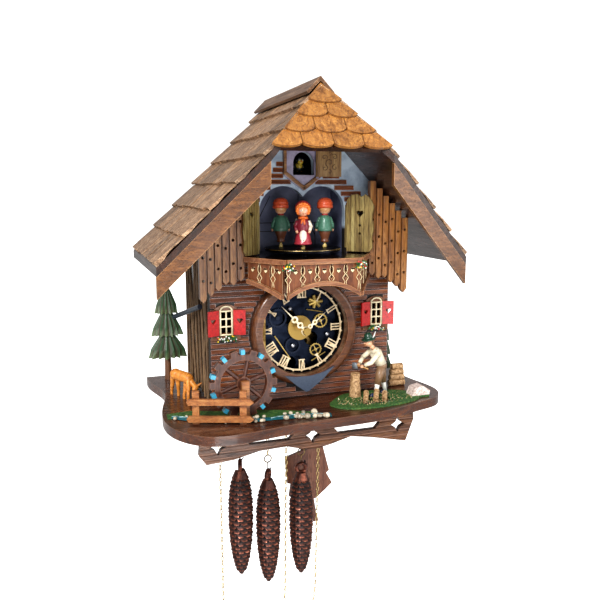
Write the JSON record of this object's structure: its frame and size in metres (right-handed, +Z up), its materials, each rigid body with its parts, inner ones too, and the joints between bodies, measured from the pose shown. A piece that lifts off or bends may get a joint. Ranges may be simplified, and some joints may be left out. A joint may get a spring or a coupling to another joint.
{
  "type": "cuckoo clock",
  "caption": "Wall-hung chalet cuckoo clock with a shingled half-hip roof, dancers' carousel, balcony, open dial, garden scene, carved pendulum and fir cone weights on chains.",
  "frame": {"origin": "the mouth of the hanger hole in the back panel, on the wall's plane", "axes": "+Y points into the wall, +Z up, +X to the viewer's right"},
  "size_m": [0.34, 0.2338, 0.7083],
  "materials": {
    "dark_wood": "glossy dark brown stain",
    "base_wood": "satin reddish brown stain",
    "shingle": "weathered split wood",
    "oak_shingle": "golden brown, open grain",
    "slat": "golden brown stain, satin",
    "balcony_wood": "red brown stain with pale cut edges",
    "shutter_olive": "yellow olive stripes",
    "lilac_paint": "satin grey lilac paint",
    "light_oak": "satin light oak",
    "bird_paint": "painted dark with a yellow face",
    "disc": "black",
    "dancer_girl": "glossy paint",
    "dancer_boy": "glossy paint",
    "numerals": "cream",
    "window_paint": "red shutters on brown wood",
    "wheel_wood": "dark red brown",
    "fence_wood": "orange brown",
    "deer_paint": "orange stain",
    "fir_paint": "green over brown",
    "figure_paint": "painted resin",
    "log_wood": "raw wood",
    "grass": "flocked green",
    "brass": "polished",
    "music": "black frame",
    "steel": "wound wire",
    "pendulum_wood": "satin red brown",
    "antique_copper": "antiqued copper brown",
    "chain_brass": "bright links"
  },
  "bodies": {
    "case": {"front_panel": "dark_wood", "dial_ring": "dark_wood", "back_panel": "dark_wood", "niche_box": "dark_wood", "balcony_floor": "dark_wood", "side_walls": "dark_wood", "base_platform": "base_wood", "apron": "base_wood", "roof_left": "base_wood", "roof_right": "base_wood", "bargeboards": "base_wood", "ridge_cap": "base_wood", "shingles_left": "shingle", "shingles_right": "shingle", "hip_roof": "oak_shingle", "slat_panel_left": "slat", "slat_panel_right": "slat", "balcony_boards": "balcony_wood", "balcony_trim": "balcony_wood", "dancer_shutters": "shutter_olive", "cuckoo_surround": "lilac_paint", "chapter_ring": "numerals", "windows": "window_paint", "fence": "fence_wood", "deer": "deer_paint", "trees": "fir_paint", "wood_chopper": "figure_paint", "logs": "log_wood", "ground_cover": "grass", "movement_plates": "brass", "going_train": "brass", "music_box": "music", "gong": "steel"},
    "minute_hand": {"minute_hand": "numerals"},
    "hour_hand": {"hour_hand": "numerals"},
    "pendulum": {"pendulum": "pendulum_wood"},
    "carousel": {"carousel_disc": "disc", "dancer_girl_front": "dancer_girl", "dancer_boy_right": "dancer_boy", "dancer_girl_back": "dancer_girl", "dancer_boy_left": "dancer_boy"},
    "water_wheel": {"water_wheel": "wheel_wood"},
    "cuckoo_door": {"cuckoo_door": "light_oak"},
    "cuckoo": {"cuckoo": "bird_paint"},
    "chopper_arms": {"chopper_arms": "figure_paint"},
    "drop_a": {"cone_a": "antique_copper", "chain_load_a": "chain_brass"},
    "pull_a": {"chain_free_a": "chain_brass", "chain_hank_a": "chain_brass"},
    "wheel_a": {"chain_wheel_a": "brass"},
    "drop_b": {"cone_b": "antique_copper", "chain_load_b": "chain_brass"},
    "pull_b": {"chain_free_b": "chain_brass", "chain_hank_b": "chain_brass"},
    "wheel_b": {"chain_wheel_b": "brass"},
    "drop_c": {"cone_c": "antique_copper", "chain_load_c": "chain_brass"},
    "pull_c": {"chain_free_c": "chain_brass", "chain_hank_c": "chain_brass"},
    "wheel_c": {"chain_wheel_c": "brass"}
  },
  "joints": [
    {"name": "minute_hand_turn", "type": "hinge", "parent": "case", "child": "minute_hand", "pos_m": [0, -0.15, -0.1626], "axis": [0, 1, 0], "continuous": true},
    {"name": "hour_hand_turn", "type": "hinge", "parent": "case", "child": "hour_hand", "pos_m": [0, -0.148, -0.1626], "axis": [0, 1, 0], "continuous": true},
    {"name": "pendulum_swing", "type": "hinge", "parent": "case", "child": "pendulum", "pos_m": [0, -0.055, -0.16], "axis": [0, 1, 0], "range_deg": [0, 19.5]},
    {"name": "carousel_turn", "type": "hinge", "parent": "case", "child": "carousel", "pos_m": [0, -0.14, -0.0725], "axis": [0, 0, 1], "continuous": true},
    {"name": "water_wheel_turn", "type": "hinge", "parent": "case", "child": "water_wheel", "pos_m": [-0.081, -0.185, -0.204], "axis": [0, 1, 0], "continuous": true},
    {"name": "cuckoo_door_swing", "type": "hinge", "parent": "case", "child": "cuckoo_door", "pos_m": [0.014, -0.1463, 0.0184], "axis": [0, 0, 1], "range_deg": [-170, 0]},
    {"name": "cuckoo_slide", "type": "slide", "parent": "case", "child": "cuckoo", "axis": [0, 1, 0], "range_m": [0, 0.0151]},
    {"name": "chopper_swing", "type": "hinge", "parent": "case", "child": "chopper_arms", "pos_m": [0.076, -0.166, -0.188], "axis": [0, 1, 0], "range_deg": [0, 35]},
    {"name": "drop_a_slide", "type": "slide", "parent": "case", "child": "drop_a", "axis": [0, 0, -1], "range_m": [0, 0.03]},
    {"name": "pull_a_slide", "type": "slide", "parent": "case", "child": "pull_a", "axis": [-0.0041, 0, 1], "range_m": [0, 0.03]},
    {"name": "wheel_a_turn", "type": "hinge", "parent": "case", "child": "wheel_a", "pos_m": [-0.0762, -0.1, -0.19], "axis": [0, 1, 0], "range_deg": [0, 142]},
    {"name": "drop_b_slide", "type": "slide", "parent": "case", "child": "drop_b", "axis": [0, 0, -1], "range_m": [0, 0.03]},
    {"name": "pull_b_slide", "type": "slide", "parent": "case", "child": "pull_b", "axis": [0.0102, 0, 0.9999], "range_m": [0, 0.03]},
    {"name": "wheel_b_turn", "type": "hinge", "parent": "case", "child": "wheel_b", "pos_m": [-0.0177, -0.1, -0.19], "axis": [0, -1, 0], "range_deg": [0, 142]},
    {"name": "drop_c_slide", "type": "slide", "parent": "case", "child": "drop_c", "axis": [0, 0, -1], "range_m": [0, 0.03]},
    {"name": "pull_c_slide", "type": "slide", "parent": "case", "child": "pull_c", "axis": [0.0172, 0, 0.9999], "range_m": [0, 0.03]},
    {"name": "wheel_c_turn", "type": "hinge", "parent": "case", "child": "wheel_c", "pos_m": [0.0247, -0.1, -0.19], "axis": [0, -1, 0], "range_deg": [0, 142]}
  ],
  "couplings": [
    {"joint": "hour_hand_turn", "follows": "minute_hand_turn", "ratio": 0.083333},
    {"joint": "water_wheel_turn", "follows": "carousel_turn", "ratio": 1.5},
    {"joint": "cuckoo_slide", "follows": "cuckoo_door_swing", "m_per_rad": -0.00505},
    {"joint": "pull_a_slide", "follows": "drop_a_slide", "ratio": 1},
    {"joint": "wheel_a_turn", "follows": "drop_a_slide", "rad_per_m": 81.967},
    {"joint": "pull_b_slide", "follows": "drop_b_slide", "ratio": 1},
    {"joint": "wheel_b_turn", "follows": "drop_b_slide", "rad_per_m": 81.967},
    {"joint": "pull_c_slide", "follows": "drop_c_slide", "ratio": 1},
    {"joint": "wheel_c_turn", "follows": "drop_c_slide", "rad_per_m": 81.967}
  ]
}
